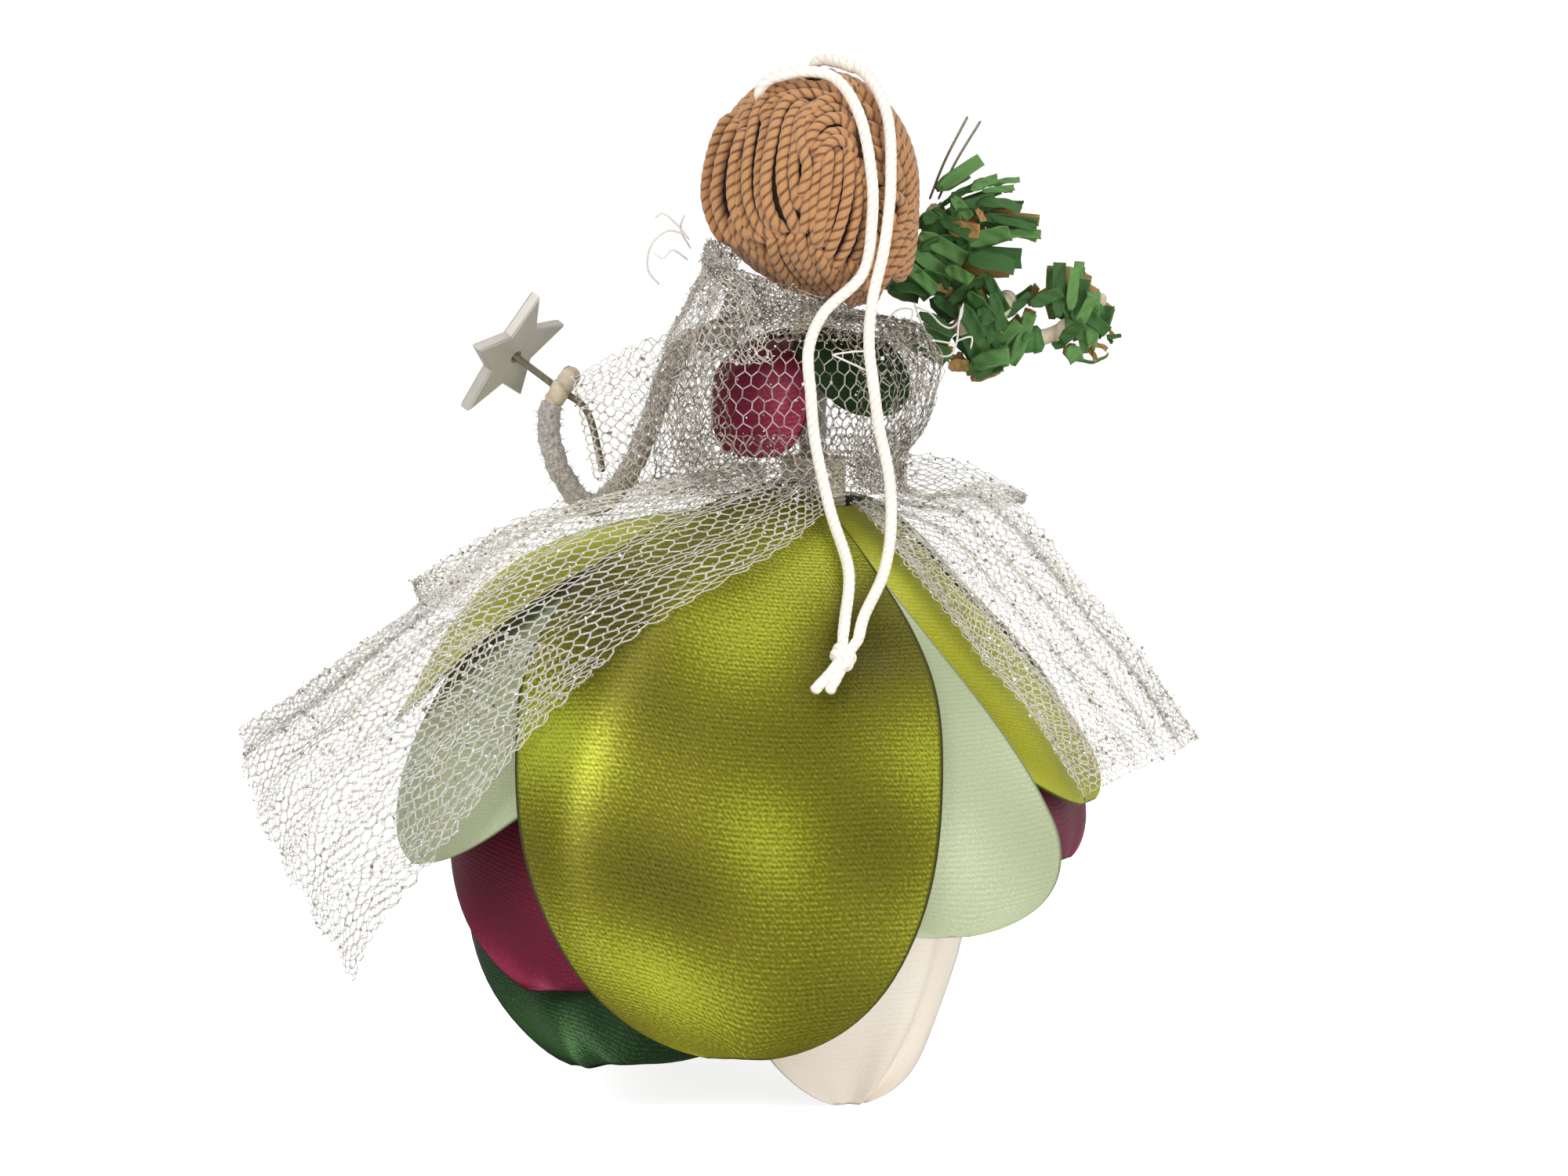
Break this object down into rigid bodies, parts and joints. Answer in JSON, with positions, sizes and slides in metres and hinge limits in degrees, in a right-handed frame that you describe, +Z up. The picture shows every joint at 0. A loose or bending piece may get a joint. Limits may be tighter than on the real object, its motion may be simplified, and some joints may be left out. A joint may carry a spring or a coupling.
{
  "type": "hanging fairy ornament",
  "caption": "Fairy ornament with a yarn-haired bead head, wire arms, a skirt of overlapping cloth petals, net wings, a turning star wand, a leaf wreath and a string loop to hang it by.",
  "frame": {"origin": "middle of the ornament's bounding box without the hanging loop, at the height of the lowest petal hems", "axes": "+Z up, +Y the way the fairy faces, +X her right side"},
  "size_m": [0.0908, 0.0738, 0.0993],
  "materials": {
    "bead_wood": "bare turned wood, sanded",
    "yarn": "two-ply twisted yarn in caramel brown",
    "arm_felt": "fuzzy grey-brown covering",
    "binding_thread": "wound thread",
    "cream_satin": "satin with a fine rib and a sealed edge",
    "forest_satin": "satin with a fine rib and a sealed edge",
    "sage_satin": "satin with a fine rib and a sealed edge",
    "burgundy_satin": "satin with a fine rib and a sealed edge",
    "chartreuse_satin": "shot satin with a fine rib and a sealed edge",
    "glitter_net": "soft net with silver glitter",
    "craft_wire": "dull drawn wire",
    "wrapped_paper": "wrapped paper tape, matt",
    "star_paint": "matt taupe with a pale rim",
    "leaf_paper": "matt green paper tape with a tan reverse",
    "cotton_string": "soft cream cotton string"
  },
  "bodies": {
    "fairy": {"head_bead": "bead_wood", "hair_wig": "yarn", "body_stem": "arm_felt", "waist_binding": "binding_thread", "neck_binding": "binding_thread", "petal_cream_right": "cream_satin", "petal_forest_front": "forest_satin", "petal_cream_front": "cream_satin", "petal_forest_left": "forest_satin", "petal_olive_right": "sage_satin", "petal_burgundy_left": "burgundy_satin", "petal_burgundy_right": "burgundy_satin", "petal_chartreuse_left": "chartreuse_satin", "petal_burgundy_front": "burgundy_satin", "petal_chartreuse_right": "chartreuse_satin", "petal_forest_side": "forest_satin", "petal_chartreuse_front": "chartreuse_satin", "petal_sage_left": "sage_satin", "petal_sage_front": "sage_satin", "petal_sage_right": "sage_satin", "petal_chartreuse_back": "chartreuse_satin", "bodice_burgundy": "burgundy_satin", "bodice_forest": "forest_satin", "bodice_sage": "sage_satin", "bodice_chartreuse": "chartreuse_satin", "net_shawl_back": "glitter_net", "net_shawl_front": "glitter_net", "net_collar": "glitter_net", "net_wing_left": "glitter_net", "net_wing_right": "glitter_net", "net_bow_left": "glitter_net", "net_bow_right": "glitter_net", "arm_wire": "craft_wire", "hand_left": "wrapped_paper", "arm_sleeve_left": "arm_felt", "arm_sleeve_right": "arm_felt", "hand_right": "wrapped_paper", "net_sleeve_left": "glitter_net", "twig": "wrapped_paper", "leaves_main": "leaf_paper", "leaves_branch": "leaf_paper", "leaves_tip": "leaf_paper", "twig_wire_long": "craft_wire", "twig_wire_short": "craft_wire", "loop_root": "cotton_string", "hanging_loop_leg_a": "cotton_string", "hanging_loop_leg_b": "cotton_string", "loop_knot": "cotton_string"},
    "wand": {"wand_wire": "craft_wire", "star": "star_paint"}
  },
  "joints": [
    {"name": "wand_turn", "type": "hinge", "parent": "fairy", "child": "wand", "pos_m": [-0.01543, 0.00535, 0.06684], "axis": [0.8, 0, -0.6], "range_deg": [-30, 30]}
  ]
}
